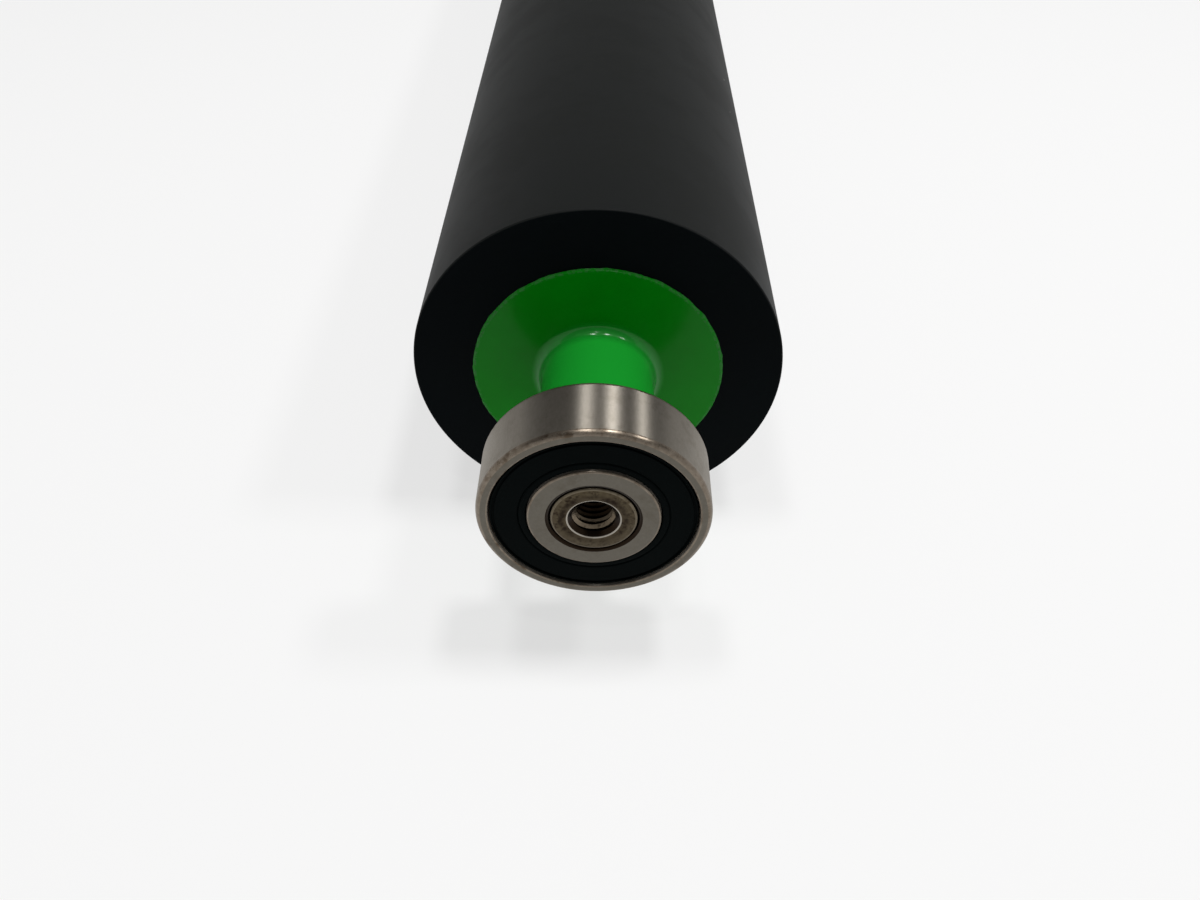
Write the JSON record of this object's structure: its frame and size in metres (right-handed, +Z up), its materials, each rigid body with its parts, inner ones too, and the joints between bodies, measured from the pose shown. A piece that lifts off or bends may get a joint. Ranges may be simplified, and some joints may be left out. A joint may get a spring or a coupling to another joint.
{
  "type": "printing press form roller",
  "caption": "Rubber-covered press form roller on a steel core, carried in a sealed ball bearing at each end, with a tapped hole in each shaft end.",
  "frame": {"origin": "middle of the roller on its axis", "axes": "+Y along the roller's axis towards the far end, +Z up, +X to the right seen from the near end"},
  "size_m": [0.0579, 0.582, 0.058],
  "materials": {
    "rubber_covering": "matte, ground",
    "core_steel": "turned",
    "green_enamel": "glossy enamel over turned steel, bare at the bearing seat and shaft end",
    "bearing_steel": "ground and polished",
    "ball_steel": "polished",
    "cage_steel": "pressed strip",
    "seal_rubber": "moulded, satin"
  },
  "bodies": {
    "near_ring": {"near_bearing_outer_ring": "bearing_steel", "near_bearing_seal_front": "seal_rubber", "near_bearing_seal_rear": "seal_rubber"},
    "roller": {"roller_tube": "core_steel", "near_journal": "green_enamel", "far_journal": "green_enamel", "rubber_cover": "rubber_covering", "near_bearing_inner_ring": "bearing_steel", "far_bearing_inner_ring": "bearing_steel"},
    "near_cage": {"near_bearing_balls": "ball_steel", "near_bearing_cage_front": "cage_steel", "near_bearing_cage_rear": "cage_steel", "near_bearing_cage_rivets": "cage_steel"},
    "far_cage": {"far_bearing_balls": "ball_steel", "far_bearing_cage_front": "cage_steel", "far_bearing_cage_rear": "cage_steel", "far_bearing_cage_rivets": "cage_steel"},
    "far_ring": {"far_bearing_outer_ring": "bearing_steel", "far_bearing_seal_front": "seal_rubber", "far_bearing_seal_rear": "seal_rubber"}
  },
  "joints": [
    {"name": "roller_spin", "type": "hinge", "parent": "near_ring", "child": "roller", "pos_m": [0, -0.286, 0], "axis": [0, 1, 0], "continuous": true},
    {"name": "near_cage_spin", "type": "hinge", "parent": "near_ring", "child": "near_cage", "pos_m": [0, -0.286, 0], "axis": [0, 1, 0], "continuous": true},
    {"name": "far_ring_spin", "type": "hinge", "parent": "roller", "child": "far_ring", "pos_m": [0, 0.286, 0], "axis": [0, 1, 0], "continuous": true},
    {"name": "far_cage_spin", "type": "hinge", "parent": "roller", "child": "far_cage", "pos_m": [0, 0.286, 0], "axis": [0, 1, 0], "continuous": true}
  ],
  "couplings": [
    {"joint": "near_cage_spin", "follows": "roller_spin", "ratio": 0.36471},
    {"joint": "far_cage_spin", "follows": "far_ring_spin", "ratio": 0.6353}
  ]
}
